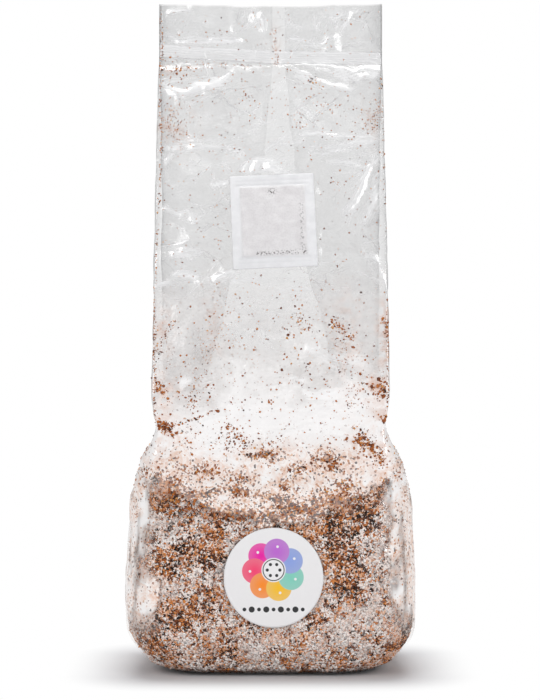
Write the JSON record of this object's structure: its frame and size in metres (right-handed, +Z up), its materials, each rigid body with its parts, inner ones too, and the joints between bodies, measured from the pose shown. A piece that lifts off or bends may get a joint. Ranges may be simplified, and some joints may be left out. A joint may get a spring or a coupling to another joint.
{
  "type": "mushroom grow bag",
  "caption": "Gusseted clear film bag, heat-sealed near its top, with a breathing filter patch, a round label and a colonised block of substrate in its base.",
  "frame": {"origin": "centre of the bag's footprint box, on the ground", "axes": "+Z up towards the sealed end, -Y towards the front with the filter patch and label, +X to the right seen from the front"},
  "size_m": [0.2126, 0.147, 0.495],
  "materials": {
    "film": "clear, slightly hazy, glossy and crinkled",
    "membrane": "white non-woven sheet, matte",
    "label": "white paper sticker, satin, with a plain coloured pattern",
    "substrate": "loose brown husk, sawdust and grain bound by white mycelium, matte"
  },
  "bodies": {
    "root": {"bag_film": "film", "filter_patch": "membrane", "label": "label", "substrate_block": "substrate"}
  },
  "joints": []
}
